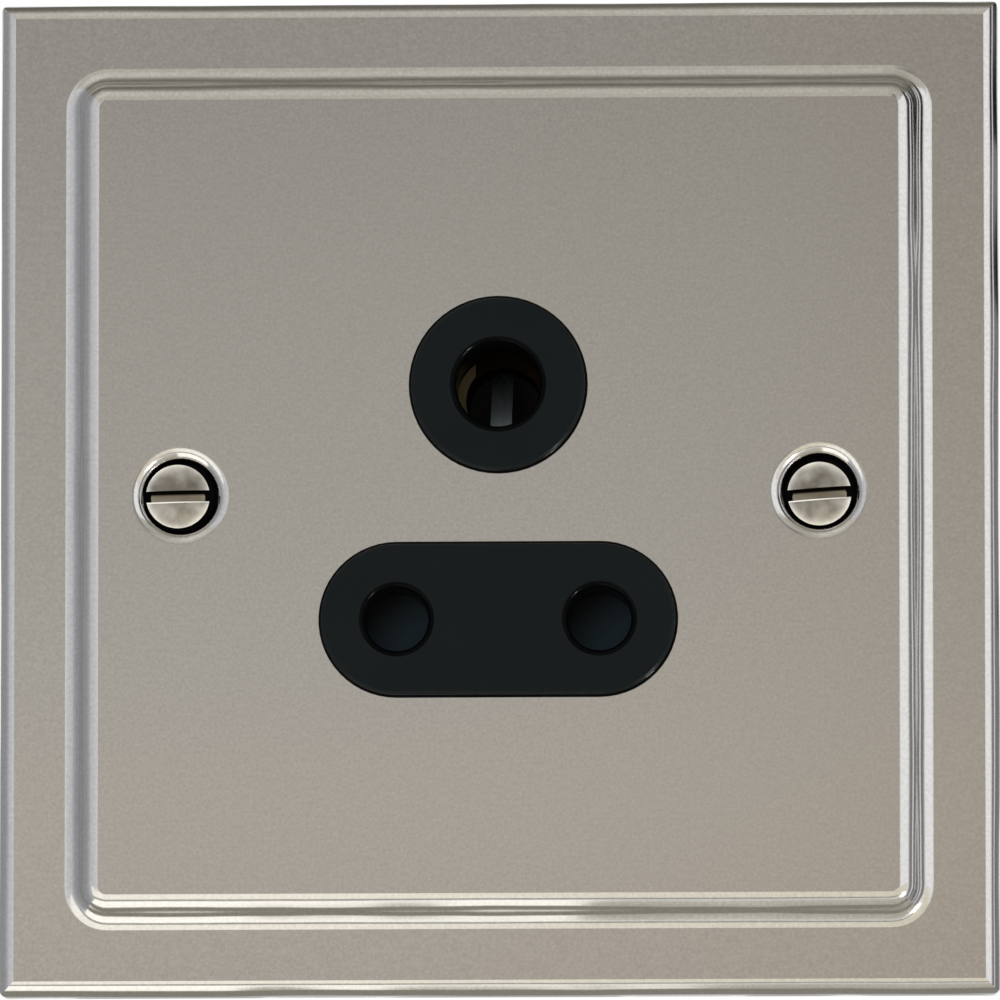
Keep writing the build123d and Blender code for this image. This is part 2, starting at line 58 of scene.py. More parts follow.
class Value:
    """What one node of a finish gives, for use in plain arithmetic."""

    def __init__(self, finish, socket):
        self.finish = finish
        self.socket = socket

    def work(self, operation, first, second):
        return self.finish.node("ShaderNodeMath", {"operation": operation}, {0: first, 1: second})

    def __add__(self, other):
        return self.work("ADD", self, other)

    def __radd__(self, other):
        return self.work("ADD", other, self)

    def __sub__(self, other):
        return self.work("SUBTRACT", self, other)

    def __rsub__(self, other):
        return self.work("SUBTRACT", other, self)

    def __mul__(self, other):
        return self.work("MULTIPLY", self, other)

    def __rmul__(self, other):
        return self.work("MULTIPLY", other, self)

    def __truediv__(self, other):
        return self.work("DIVIDE", self, other)

    def __rtruediv__(self, other):
        return self.work("DIVIDE", other, self)

    def __pow__(self, other):
        return self.work("POWER", self, other)

    def __rpow__(self, other):
        return self.work("POWER", other, self)

    def __lt__(self, other):
        return self.work("LESS_THAN", self, other)

    def __gt__(self, other):
        return self.work("GREATER_THAN", self, other)

    def __abs__(self):
        return self.finish.node("ShaderNodeMath", {"operation": "ABSOLUTE"}, {0: self})


class Finish:
    """A material, with its nodes made one by one."""

    def __init__(self, name, material=None):
        self.material = material or bpy.data.materials.new(name)
        self.material.use_nodes = True
        self.tree = self.material.node_tree
        self.tree.nodes.clear()

    def node(self, kind, settings=None, sockets=None, output=0):
        made = self.tree.nodes.new(kind)
        for name, value in (settings or {}).items():
            if name == "stops":
                stops = made.color_ramp.elements
                while len(stops) < len(value):
                    stops.new(1)
                for stop, (place, colour) in zip(stops, value):
                    stop.position = place
                    stop.color = (*colour, 1)
            else:
                setattr(made, name, value)
        for key, value in (sockets or {}).items():
            if isinstance(value, Value):
                self.tree.links.new(value.socket, made.inputs[key])
            else:
                made.inputs[key].default_value = value
        return Value(self, made.outputs[output]) if made.outputs else made

    def vector(self, operation, sockets):
        return self.node("ShaderNodeVectorMath", {"operation": operation}, sockets)

    def along(self, axis):
        place = self.node("ShaderNodeTexCoord", output="Object")
        return self.node("ShaderNodeSeparateXYZ", None, {0: place}, axis)

    def noise(self, scale, detail, stretch=(1, 1, 1), output=0):
        place = self.node("ShaderNodeTexCoord", output="Object")
        stretched = self.vector("MULTIPLY", {0: place, 1: stretch})
        sockets = {"Vector": stretched, "Scale": scale, "Detail": detail}
        return self.node("ShaderNodeTexNoise", None, sockets, output)

    def painted(self, layer):
        return self.node("ShaderNodeAttribute", {"attribute_name": layer}, output="Fac")

    def mix(self, share, first, second):
        ends = [colour if isinstance(colour, Value) else (*colour, 1) for colour in (first, second)]
        sockets = {"Factor": share, 6: ends[0], 7: ends[1]}
        return self.node("ShaderNodeMix", {"data_type": "RGBA"}, sockets, 2)

    def bump(self, height, depth, strength, facing=None):
        sockets = {"Height": height, "Distance": depth, "Strength": strength}
        if facing:
            sockets["Normal"] = facing
        return self.node("ShaderNodeBump", None, sockets)

    def coat(self, sockets):
        return self.node("ShaderNodeBsdfPrincipled", None, sockets)

    def cover(self, shader):
        self.node("ShaderNodeOutputMaterial", None, {"Surface": shader})


def dress(finish, *names):
    """Put a finish on pieces that keep their machined or moulded shape."""
    for name in names:
        nodes[name].material_slots[0].material = finish.material


def thermoset(finish, dark, light, rough, gloss):
    """Coat of filled black moulding compound: fine grain, faint flow marks."""
    grain = finish.noise(scale=5200, detail=3)
    flow = finish.noise(scale=95, detail=3, stretch=(1, 1, 2.5))
    marks = FLOW_SHARE * flow + (1 - FLOW_SHARE) * grain
    return finish.coat(
        {
            "Base Color": finish.mix(marks, dark, light),
            "Roughness": rough + 0.14 * grain + 0.06 * flow,
            "Specular IOR Level": gloss,
            "Normal": finish.bump(grain, depth=0.000012, strength=0.5),
        }
    )


rear_black = Finish("rear_black_thermoset")
rear_black.cover(thermoset(rear_black, REAR_DARK, REAR_LIGHT, rough=0.36, gloss=0.4))
dress(rear_black, "rear_housing")

# Contacts: split sleeves that grip the plug's pins, each with a tail to its terminal.
# They are pressed from rolled brass strip, which has gone dull brown. Their colour darkens with
# depth from the entry and is dark on the right leaf, both as painted shade, so that only the left
# leaf keeps bright brass at its entry.
SHADE_DEPTH = 0.0024
TARNISH_SHARE = 0.6
BRIGHT_BRASS = (0.17, 0.14, 0.075)
BROWN_SHADED_BRASS = (0.016, 0.011, 0.006)
contact_brass = Finish("contact_brass")
rolling = contact_brass.noise(scale=2600, detail=3, stretch=(6, 0.35, 6))
tarnish = contact_brass.noise(scale=260, detail=4)
# painted shade: the brass darkens with depth from the earth contact's entry, and the right leaf is
# dark
depth_shade = (contact_brass.along("Y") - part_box("earth_contact")[0].y) / SHADE_DEPTH
right_leaf_shade = contact_brass.along("X") > 0
dull = depth_shade + TARNISH_SHARE * tarnish * tarnish + right_leaf_shade
contact_coat = contact_brass.coat(
    {
        "Base Color": contact_brass.mix(dull, BRIGHT_BRASS, BROWN_SHADED_BRASS),
        "Metallic": 1.0,
        "Roughness": 0.28 + 0.16 * rolling + 0.12 * tarnish,
        "Normal": contact_brass.bump(rolling, depth=0.000015, strength=0.4),
    }
)
contact_brass.cover(contact_coat)
dress(contact_brass, "earth_contact", "line_contact", "neutral_contact")

# Terminals: square brass blocks, cross drilled for the conductor, with a spigot riveted over
# the contact's tail. They are sawn and milled from drawn bar, which leaves fine cutter lines.
MILLED_BRASS = (0.84, 0.63, 0.31)
STAINED_BRASS = (0.5, 0.35, 0.17)
STAIN_SHARE = 1.5
terminal_brass = Finish("terminal_brass")
cutter = terminal_brass.noise(scale=1500, detail=2, stretch=(1, 14, 1))
stain = terminal_brass.noise(scale=330, detail=4)
terminal_coat = terminal_brass.coat(
    {
        "Base Color": terminal_brass.mix(STAIN_SHARE * stain * stain, MILLED_BRASS, STAINED_BRASS),
        "Metallic": 1.0,
        "Roughness": 0.22 + 0.2 * cutter + 0.1 * stain,
        "Normal": terminal_brass.bump(cutter, depth=0.00002, strength=0.5),
    }
)
terminal_brass.cover(terminal_coat)
dress(terminal_brass, "earth_terminal", "line_terminal", "neutral_terminal")

# Clamp screws of the terminals and the three screws between the mouldings: slotted steel screws
# with cheese heads, zinc plated and passivated, which gives a cool grey with a slight cloud.
SCREW_BRIGHT = (0.66, 0.67, 0.69)
SCREW_DULL = (0.43, 0.45, 0.49)


def zinc_plate(name, bright, dull):
    """Zinc plate on turned steel: cool, clouded, with faint turning rings."""
    finish = Finish(name)
    cloud = finish.noise(scale=420, detail=4)
    scratch = finish.noise(scale=2400, detail=2, stretch=(8, 1, 1))
    coat = finish.coat(
        {
            "Base Color": finish.mix(cloud, dull, bright),
            "Metallic": 1.0,
            "Roughness": 0.24 + 0.18 * cloud + 0.1 * scratch,
            "Normal": finish.bump(scratch, depth=0.00001, strength=0.4),
        }
    )
    finish.cover(coat)
    return finish


screw_zinc = zinc_plate("screw_zinc", SCREW_BRIGHT, SCREW_DULL)
dress(screw_zinc, "earth_terminal_screw", "line_terminal_screw", "neutral_terminal_screw")
dress(screw_zinc, "housing_screws")

# Earth strap: a tinned brass strip that bonds the metal plate to the earth terminal.
# It is bent from rolled strip, with its tag under one of the plate's nuts.
TIN_DULL = (0.56, 0.54, 0.5)
TIN_BRIGHT = (0.78, 0.77, 0.74)
strap_tin = Finish("strap_tin")
roll = strap_tin.noise(scale=2200, detail=3, stretch=(0.4, 6, 6))
bloom = strap_tin.noise(scale=240, detail=4)
strap_coat = strap_tin.coat(
    {
        "Base Color": strap_tin.mix(bloom, TIN_DULL, TIN_BRIGHT),
        "Metallic": 1.0,
        "Roughness": 0.26 + 0.14 * roll + 0.12 * bloom,
        "Normal": strap_tin.bump(roll, depth=0.000015, strength=0.5),
    }
)
strap_tin.cover(strap_coat)
dress(strap_tin, "earth_strap")

# Shutter: the sliding T that closes the line and neutral holes until the earth pin pushes its ramp.
# It is injection moulded in a tough dark grey plastic. Each land is painted dark at its upper left
# and light at its lower right, as painted shade and light. The ramp is painted pale, partly as wear
# from the pins and partly as painted light, and it darkens further up as painted shade.
PIN_SIDE = 0.009525
PIN_LEVEL = -0.0118
LAND_LIGHT_START = 0.003
LAND_LIGHT_FADE = 0.0046
LAND_LIGHT_SLANT = 0.8
RAMP_SIDE = 0.0012
RAMP_FOOT = 0.0052
RAMP_RISE = 0.008
PALE_FOOT = 0.8
PALE_SCRATCHES = 0.3
PALE_SHADE_FADE = 0.92
LAND_SHADED = (0.003, 0.004, 0.005)
LAND_LIT = (0.043, 0.078, 0.1)
RAMP_WORN_AND_LIT = (0.46, 0.53, 0.53)
shutter_grey = Finish("shutter_grey")
skin = shutter_grey.noise(scale=4200, detail=3)
rub = shutter_grey.noise(scale=700, detail=3, stretch=(6, 1, 1))
across = shutter_grey.along("X")
level = shutter_grey.along("Z")
climb = (level - RAMP_FOOT) / RAMP_RISE
on_ramp = (abs(across) < RAMP_SIDE) * (climb > 0)
beside = across - PIN_SIDE + 2 * PIN_SIDE * (across < 0)
# painted shade and light: each land darkens towards its upper left and lightens towards its lower
# right
land_light = (LAND_LIGHT_SLANT * beside + PIN_LEVEL - level + LAND_LIGHT_START) / LAND_LIGHT_FADE
lands = shutter_grey.mix(land_light, LAND_SHADED, LAND_LIT)
# the ramp is paler, partly wear and partly painted light, and darker further up as painted shade
pale = on_ramp * (PALE_FOOT + PALE_SCRATCHES * rub - PALE_SHADE_FADE * climb)
shutter_coat = shutter_grey.coat(
    {
        "Base Color": shutter_grey.mix(pale, lands, RAMP_WORN_AND_LIT),
        "Roughness": 0.38 + 0.2 * skin - 0.1 * on_ramp,
        "Specular IOR Level": 0.12,
        "Normal": shutter_grey.bump(skin, depth=0.00001, strength=0.5),
    }
)
shutter_grey.cover(shutter_coat)
dress(shutter_grey, "shutter")

# Shutter spring: a small compression spring that lifts the shutter back over the holes.
# It is cold wound from hard drawn wire, with its end turns closed and standing on the seat.
WIRE = 0.00019
WIRE_SIDES = 10
DEAD_TURNS = 1.0
LIVE_TURNS = 6.0
TURN_STEPS = 28
SHARP_CORNER = 35
WIRE_DARK = (0.4, 0.4, 0.41)
WIRE_LIGHT = (0.62, 0.62, 0.63)


def smooth(mesh, corner):
    """Round shading, with the corners over an angle in degrees left sharp."""
    mesh.polygons.foreach_set("use_smooth", [True] * len(mesh.polygons))
    mesh.set_sharp_from_angle(angle=math.radians(corner))


def mesh_piece(name, points, faces, finish, corner=SHARP_CORNER):
    """A closed surface as a piece of the object."""
    mesh = bpy.data.meshes.new(name)
    mesh.from_pydata(points, [], faces)
    mesh.validate()
    build = bmesh.new()
    build.from_mesh(mesh)
    bmesh.ops.recalc_face_normals(build, faces=build.faces)
    build.to_mesh(mesh)
    build.free()
    smooth(mesh, corner)
    mesh.materials.append(finish.material)
    piece = bpy.data.objects.new(name, mesh)
    bpy.context.scene.collection.objects.link(piece)
    return piece


def skin_rings(rings, loop=False):
    """Points and faces of a skin over rings: capped at both ends, or joined into a loop."""
    points = [point for ring in rings for point in ring]
    count = len(rings[0])
    steps = len(rings) if loop else len(rings) - 1
    faces = []
    for i in range(steps):
        low = i * count
        high = (i + 1) % len(rings) * count
        for j in range(count):
            k = (j + 1) % count
            faces.append((low + j, low + k, high + k, high + j))
    if not loop:
        faces.append(tuple(range(count)))
        faces.append(tuple(range((len(rings) - 1) * count, len(rings) * count)))
    return points, faces


spring_low, spring_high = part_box("shutter_spring")
spring_x = (spring_low.x + spring_high.x) / 2
spring_y = (spring_low.y + spring_high.y) / 2
spring_coil = (spring_high.x - spring_low.x) / 2 - WIRE
spring_foot = spring_low.z + WIRE
spring_rise = spring_high.z - spring_low.z - 2 * WIRE
dead_rise = 2 * WIRE * DEAD_TURNS
turns = LIVE_TURNS + 2 * DEAD_TURNS
wire_rings = []
for step in range(int(turns * TURN_STEPS) + 1):
    turn = step / TURN_STEPS
    lift = 2 * WIRE * min(turn, DEAD_TURNS) + 2 * WIRE * max(0, turn - DEAD_TURNS - LIVE_TURNS)
    lift += (spring_rise - 2 * dead_rise) * min(max((turn - DEAD_TURNS) / LIVE_TURNS, 0), 1)
    angle = math.tau * turn
    ring = []
    for side in range(WIRE_SIDES):
        around = math.tau * side / WIRE_SIDES
        reach = spring_coil + WIRE * math.cos(around)
        wire_x = spring_x + reach * math.cos(angle)
        wire_y = spring_y + reach * math.sin(angle)
        ring.append((wire_x, wire_y, spring_foot + lift + WIRE * math.sin(around)))
    wire_rings.append(ring)
spring_wire = Finish("spring_wire")
drawn = spring_wire.noise(scale=1800, detail=3)
wire_coat = spring_wire.coat(
    {
        "Base Color": spring_wire.mix(drawn, WIRE_DARK, WIRE_LIGHT),
        "Metallic": 1.0,
        "Roughness": 0.22 + 0.2 * drawn,
    }
)
spring_wire.cover(wire_coat)
spring = mesh_piece("return_spring", *skin_rings(wire_rings), spring_wire)
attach(spring, "socket")
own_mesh(spring)
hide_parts("shutter_spring")

# Front moulding: the black flange behind the plate, whose round and long bosses stand through it
# with the pin holes. It is the same thermoset with a fine satin face, and the rounded mouths of the
# holes come polished from the mould pins and catch a glint. Within a reach of the pin holes and the
# fixing screws its colour is made near black, as painted shade in the holes and round the screw
# heads.
EARTH_LEVEL = 0.0104
EARTH_MOUTH = 0.00452
PIN_MOUTH = 0.00353
SCREW_MOUTH = 0.0042
FACE_DARK = (0.0036, 0.0058, 0.0062)
FACE_LIGHT = (0.0056, 0.0084, 0.009)
MOUTH_SHADE_DARK = (0.0006, 0.0008, 0.0009)
MOUTH_SHADE_LIGHT = (0.0014, 0.0017, 0.0018)
# painted shade: the moulding is made near black within these reaches of the holes and fixing screws
mouths = [
    (0, EARTH_LEVEL, EARTH_MOUTH),
    (-PIN_SIDE, PIN_LEVEL, PIN_MOUTH),
    (PIN_SIDE, PIN_LEVEL, PIN_MOUTH),
]
for side in ("left", "right"):
    low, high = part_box("fixing_screw_" + side)
    mouths.append(((low.x + high.x) / 2, (low.z + high.z) / 2, SCREW_MOUTH))
face_black = Finish("face_black_thermoset")
tooling = face_black.noise(scale=1300, detail=3, stretch=(1, 4, 1))
mouth_shade = 0
for x, z, reach in mouths:
    away = (face_black.along("X") - x) ** 2 + (face_black.along("Z") - z) ** 2
    mouth_shade = mouth_shade + (away < reach**2)
satin = thermoset(face_black, FACE_DARK, FACE_LIGHT, rough=0.08, gloss=0.12)
shaded_polish = face_black.coat(
    {
        "Base Color": face_black.mix(tooling, MOUTH_SHADE_DARK, MOUTH_SHADE_LIGHT),
        "Roughness": 0.08 + 0.12 * tooling,
        "Specular IOR Level": 0.04,
        "Normal": face_black.bump(tooling, depth=0.00004, strength=0.5),
    }
)
face_black.cover(face_black.node("ShaderNodeMixShader", None, {0: mouth_shade, 1: satin, 2: shaded_polish}))
dress(face_black, "socket_front")

# Front plate: one square of sheet, pressed with a rounded edge, an ogee step and two drawn screw
# dimples, then nickel plated and polished. The polish keeps a fine haze and a faint wave, and the
# buffing wheel has left the rounds and the step slightly uneven.
SWAY = 0.7
NOISE_MIDDLE = (0.5, 0.5, 0.5)
HAZE_SHARE = 0.75
NICKEL_DARK = (0.595, 0.588, 0.572)
NICKEL_LIGHT = (0.86, 0.852, 0.835)
plate_nickel = Finish("polished_nickel")
haze = plate_nickel.noise(scale=3600, detail=2)
wave = plate_nickel.noise(scale=60, detail=2)
swirl = plate_nickel.noise(scale=900, detail=3, stretch=(1, 1, 3))
facing = plate_nickel.node("ShaderNodeNewGeometry", output="Normal")
turned = 1 - plate_nickel.node("ShaderNodeSeparateXYZ", None, {0: facing}, "Y") ** 2
buffing = plate_nickel.noise(scale=70, detail=1, output="Color")
sway = plate_nickel.vector("SUBTRACT", {0: buffing, 1: NOISE_MIDDLE})
sway = plate_nickel.vector("SCALE", {0: sway, "Scale": SWAY * turned})
sway = plate_nickel.vector("ADD", {0: facing, 1: sway})
uneven = plate_nickel.vector("NORMALIZE", {0: sway})
clouding = HAZE_SHARE * haze + (1 - HAZE_SHARE) * swirl
plate_coat = plate_nickel.coat(
    {
        "Base Color": plate_nickel.mix(clouding, NICKEL_DARK, NICKEL_LIGHT),
        "Metallic": 1.0,
        "Roughness": 0.085 + 0.05 * haze + 0.03 * swirl,
        "Normal": plate_nickel.bump(wave, depth=0.00002, strength=0.3, facing=uneven),
    }
)
plate_nickel.cover(plate_coat)
dress(plate_nickel, "front_plate")

# Plate studs with their washers and nuts: four threaded studs welded behind the plate draw it onto
# the front moulding. They are zinc plated steel, with rolled threads and chamfered hexagon nuts.
STUD_BASE = 0.0024
STUD_BASE_HEIGHT = 0.0005
STUD_MAJOR = 0.0015
STUD_PITCH = 0.0005
STUD_BRIGHT = (0.62, 0.63, 0.66)
STUD_DULL = (0.4, 0.42, 0.46)
THREAD_SIDES = 36
THREAD_STEPS = 12
THREAD_CREST = 0.15
THREAD_FLANK = 0.7
THREAD_DEPTH = 0.6
THREAD_RUN_OUT = 0.25
NUT_FLATS = 0.0055
NUT_HEIGHT = 0.0024
NUT_CHAMFER = ((0, 0.88), (0.06, 0.93), (0.14, 1), (0.86, 1), (0.94, 0.93), (1, 0.88))
NUT_MOUTH = 0.00172
NUT_LEAD = 0.0002
NUT_PLAY = 0.00005
NUT_SIDES = 72
NUT_CORNER = 25
STRAP = 0.0006


def ring_at(x, z, depth, radius, sides):
    """A ring of points round an axis into the wall; the radius may follow the angle."""
    ring = []
    for j in range(sides):
        angle = math.tau * j / sides
        reach = radius(angle) if callable(radius) else radius
        ring.append((x + reach * math.cos(angle), depth, z + reach * math.sin(angle)))
    return ring


def thread(x, z, start, end, major, pitch):
    """Rings along a rolled thread, which runs out at both ends."""
    rings = []
    count = round((end - start) / pitch * THREAD_STEPS)
    for i in range(count + 1):
        along = (end - start) * i / count
        fade = min(1, along / pitch, (end - start - along) / pitch)

        def reach(angle, along=along, fade=fade):
            phase = (along / pitch - angle / math.tau) % 1
            groove = min(max((abs(2 * phase - 1) - THREAD_CREST) / THREAD_FLANK, 0), 1)
            return major - THREAD_DEPTH * pitch * (groove * fade + THREAD_RUN_OUT * (1 - fade))

        rings.append(ring_at(x, z, start + along, reach, THREAD_SIDES))
    return rings


def flats(limit):
    """Outline of a hexagon nut, whose points are turned off beyond a share of their reach."""

    def reach(angle):
        turn = (angle + math.pi / 6) % (math.pi / 3) - math.pi / 6
        return min(NUT_FLATS / 2 / math.cos(turn), NUT_FLATS / math.sqrt(3) * limit)

    return reach


def add_skin(points, faces, rings, loop=False):
    """Add the skin over some rings to a piece that is made of several alike."""
    more_points, more_faces = skin_rings(rings, loop)
    faces += [tuple(len(points) + i for i in face) for face in more_faces]
    points += more_points


stud_zinc = zinc_plate("stud_zinc", STUD_BRIGHT, STUD_DULL)
stud_low, stud_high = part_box("plate_studs")
nut_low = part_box("stud_nuts")[0]
base_end = stud_low.y + STUD_BASE_HEIGHT
nut_bore = STUD_MAJOR + NUT_PLAY
stud_points, stud_faces = [], []
nut_points, nut_faces = [], []
for x in (stud_low.x + STUD_BASE, stud_high.x - STUD_BASE):
    for z in (stud_low.z + STUD_BASE, stud_high.z - STUD_BASE):
        rings = [ring_at(x, z, depth, STUD_BASE, THREAD_SIDES) for depth in (stud_low.y, base_end)]
        rings += thread(x, z, base_end, stud_high.y, STUD_MAJOR, STUD_PITCH)
        add_skin(stud_points, stud_faces, rings)

        top = nut_low.y + (STRAP if x > 0 and z > 0 else 0)
        bottom = top + NUT_HEIGHT
        outline = [(top + NUT_HEIGHT * share, flats(limit)) for share, limit in NUT_CHAMFER]
        outline += [(bottom, NUT_MOUTH), (bottom - NUT_LEAD, nut_bore)]
        outline += [(top + NUT_LEAD, nut_bore), (top, NUT_MOUTH)]
        rings = [ring_at(x, z, depth, radius, NUT_SIDES) for depth, radius in outline]
        add_skin(nut_points, nut_faces, rings, loop=True)
studs = mesh_piece("threaded_studs", stud_points, stud_faces, stud_zinc)
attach(studs, "socket")
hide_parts("plate_studs")
nuts = mesh_piece("hexagon_nuts", nut_points, nut_faces, screw_zinc, NUT_CORNER)
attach(nuts, "socket")
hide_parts("stud_nuts")
dress(screw_zinc, "stud_washers")

# Fixing screws: two slotted raised countersunk screws that hold the socket to its wall box.
# They are turned from brass and nickel plated, with the slot sawn after turning and a rolled thread.
# Screwdrivers have worn the slot's lower lip rough. The slot is coloured with dirt and with painted
# shadow that turns near black along its upper side, and the head is painted lighter towards its rim
# and on the lower lip as painted highlight.
HEAD = 0.003
HEAD_RIM = -0.004
HEAD_DOME = 0.00035
HEAD_EDGE = 0.00005
HEAD_BAND = 0.00012
HEAD_SIDES = 96
DOME_RINGS = 14
NECK = 0.0015
NECK_FLARE = 0.00005
NECK_END = 0.0001
SLOT = 0.00105
SLOT_DEPTH = 0.0009
SLOT_TURNS = {"left": 1.2, "right": 4.0}
SAW_REACH = 1.2
SAW_STEPS = 24
LIP = 0.00017
LIP_DROP = 0.00006
LIP_FLATTEST = 0.97
LIP_STEEPEST = 0.3
SCREW_MAJOR = 0.00175
SCREW_PITCH = 0.0006
SCREW_TIP = 0.021
TIP_LENGTH = 0.0004
TIP_SHARE = 0.62
THREAD_START = -0.0003
SHANK_PLAY = 0.00002
WALL_PLAY = 0.00001
DIRT_SHADE_START = 0.0001
DIRT_SHADE_MIDDLE = 0.85
SHADE_SLANT = 0.7
SLOT_SHADOW_START = 0.79
SLOT_SHADOW_FADE = 0.09
STEM_HIGHLIGHT_SHARE = 0.92
RIM_POWER = 8
SMEAR_SHARE = 1.5
HIGHLIGHT_START = 0.61
PLACE_DIGITS = 5
NICKEL_DULL_MIDDLE = (0.24, 0.222, 0.19)
NICKEL_HIGHLIGHT = (0.78, 0.76, 0.71)
NICKEL_SOILED = (0.3, 0.25, 0.185)
SLOT_SHADOW_BLACK = (0.004, 0.003, 0.002)
screw_nickel = Finish("screw_nickel")
lustre = screw_nickel.noise(scale=1500, detail=3)
smear = screw_nickel.noise(scale=520, detail=4)
dirt_and_shade = screw_nickel.painted("slot_grime")
rim_highlight = screw_nickel.painted("rim_polish")
lip_wear_and_highlight = screw_nickel.painted("lip_burr")
# painted shadow: the slot goes near black along its upper side
slot_shadow = (dirt_and_shade - SLOT_SHADOW_START) / SLOT_SHADOW_FADE
# painted highlight: the head is lighter towards its rim and on the slot's worn lower lip
bright = rim_highlight**RIM_POWER + lip_wear_and_highlight + SMEAR_SHARE * smear - HIGHLIGHT_START
highlighted_nickel = screw_nickel.mix(bright, NICKEL_DULL_MIDDLE, NICKEL_HIGHLIGHT)
dirty_and_shaded = screw_nickel.mix(dirt_and_shade, highlighted_nickel, NICKEL_SOILED)
screw_coat = screw_nickel.coat(
    {
        "Base Color": screw_nickel.mix(slot_shadow, dirty_and_shaded, SLOT_SHADOW_BLACK),
        "Metallic": 1.0,
        "Roughness": 0.2 + 0.12 * lustre + 0.14 * smear + 0.2 * dirt_and_shade + 0.15 * lip_wear_and_highlight,
        "Normal": screw_nickel.bump(smear, depth=0.00004, strength=0.5),
    }
)
screw_nickel.cover(screw_coat)
dome_radius = (HEAD**2 + HEAD_DOME**2) / (2 * HEAD_DOME)
crest = HEAD_RIM - HEAD_DOME
neck_start = HEAD_RIM + HEAD - NECK


def crown_at(reach):
    """Depth of the domed head at a distance from its middle."""
    return crest + dome_radius - math.sqrt(dome_radius**2 - reach**2)


for side, turn in SLOT_TURNS.items():
    low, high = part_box("fixing_screw_" + side)
    x = round((low.x + high.x) / 2, PLACE_DIGITS)
    z = round((low.z + high.z) / 2, PLACE_DIGITS)
    domed = [(HEAD - HEAD_EDGE) * step / DOME_RINGS for step in range(1, DOME_RINGS + 1)]
    outline = [(crown_at(reach), reach) for reach in domed]
    outline += [(HEAD_RIM, HEAD), (HEAD_RIM + HEAD_BAND, HEAD)]
    outline += [(neck_start, NECK + NECK_FLARE), (neck_start + NECK_END, NECK)]
    rings = [ring_at(x, z, depth, radius, HEAD_SIDES) for depth, radius in outline]
    head = mesh_piece("fixing_screw_head_" + side, *skin_rings(rings), screw_nickel)

    middle = Vector((x, 0, z))
    along = Vector((math.cos(math.radians(turn)), 0, math.sin(math.radians(turn))))
    lean = Vector((-along.z, 0, along.x))
    cuts = []
    for step in range(SAW_STEPS + 1):
        run = SAW_REACH * HEAD * (2 * step / SAW_STEPS - 1)
        crown = crown_at(min(abs(run), HEAD))
        profile = [
            (crest + SLOT_DEPTH, -SLOT / 2),
            (crown + LIP_DROP, -SLOT / 2),
            (crown, -SLOT / 2 - LIP),
            (crest - SLOT_DEPTH, -SLOT / 2 - LIP),
            (crest - SLOT_DEPTH, SLOT / 2),
            (crest + SLOT_DEPTH, SLOT / 2),
        ]
        station = middle + along * run
        cuts.append([station + lean * rise + Vector((0, depth, 0)) for depth, rise in profile])
    saw = mesh_piece("saw", *skin_rings(cuts), screw_nickel)
    cut = head.modifiers.new("slot", "BOOLEAN")
    cut.object = saw
    cut.solver = "EXACT"
    shown = head.evaluated_get(bpy.context.evaluated_depsgraph_get())
    whole = bmesh.new()
    whole.from_mesh(bpy.data.meshes.new_from_object(shown))
    head.modifiers.clear()
    bpy.data.objects.remove(saw)

    dirt_and_shade_layer = whole.loops.layers.float.new("slot_grime")
    rim_highlight_layer = whole.loops.layers.float.new("rim_polish")
    rough = whole.loops.layers.float.new("lip_burr")
    for face in whole.faces:
        spot = face.calc_center_median() - middle
        rise = spot.dot(lean)
        depth = spot.y - crown_at(math.hypot(spot.x, spot.z))
        in_slot = abs(rise) < SLOT / 2 + WALL_PLAY and DIRT_SHADE_START < depth < SLOT_DEPTH + HEAD_DOME
        beside_slot = -SLOT / 2 - LIP < rise < -SLOT / 2
        on_lip = beside_slot and LIP_STEEPEST < -face.normal.y < LIP_FLATTEST
        for corner in face.loops:
            place = corner.vert.co - middle
            # dirt, and painted shade that darkens towards the slot's upper side
            if in_slot:
                corner[dirt_and_shade_layer] = min(max(DIRT_SHADE_MIDDLE + SHADE_SLANT * place.dot(lean) / SLOT, 0), 1)
            # share of the painted highlight, growing towards the rim
            corner[rim_highlight_layer] = min(math.hypot(place.x, place.z) / HEAD, 1)
            # the worn lower lip gets more roughness and a painted highlight
            corner[rough] = 1 if on_lip else 0

    shank = [ring_at(x, z, neck_start, NECK - SHANK_PLAY, THREAD_SIDES)]
    shank.append(ring_at(x, z, THREAD_START, NECK, THREAD_SIDES))
    shank += thread(x, z, THREAD_START, SCREW_TIP - TIP_LENGTH, SCREW_MAJOR, SCREW_PITCH)
    shank.append(ring_at(x, z, SCREW_TIP, SCREW_MAJOR * TIP_SHARE, THREAD_SIDES))
    stem = mesh_piece("stem", *skin_rings(shank), screw_nickel)
    head_faces = len(whole.faces)
    whole.from_mesh(stem.data)
    bpy.data.objects.remove(stem)
    whole.faces.ensure_lookup_table()
    rim_highlight_layer = whole.loops.layers.float["rim_polish"]
    for face in whole.faces[head_faces:]:
        for corner in face.loops:
            corner[rim_highlight_layer] = STEM_HIGHLIGHT_SHARE
    whole.to_mesh(head.data)
    whole.free()
    smooth(head.data, SHARP_CORNER)
    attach(head, "socket")
    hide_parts("fixing_screw_" + side)

# Floor: a plain pale floor well below the socket, which hangs as on its wall.
# It is painted, with faint scuffs, and the room lights it.
FLOOR_LEVEL = -0.6
FLOOR_REACH = 8
FLOOR_DARK = (0.8, 0.8, 0.79)
FLOOR_LIGHT = (0.84, 0.84, 0.83)
floor_paint = Finish("pale_floor")
scuff = floor_paint.noise(scale=3, detail=2)
floor_shade = floor_paint.mix(scuff, FLOOR_DARK, FLOOR_LIGHT)
floor_paint.cover(floor_paint.coat({"Base Color": floor_shade, "Roughness": 0.8}))


def card(name, corners, finish):
    """A flat sheet of the room round the socket."""
    mesh = bpy.data.meshes.new(name)
    mesh.from_pydata(corners, [], [(0, 1, 2, 3)])
    mesh.materials.append(finish.material)
    sheet = bpy.data.objects.new(name, mesh)
    bpy.context.scene.collection.objects.link(sheet)
    return sheet


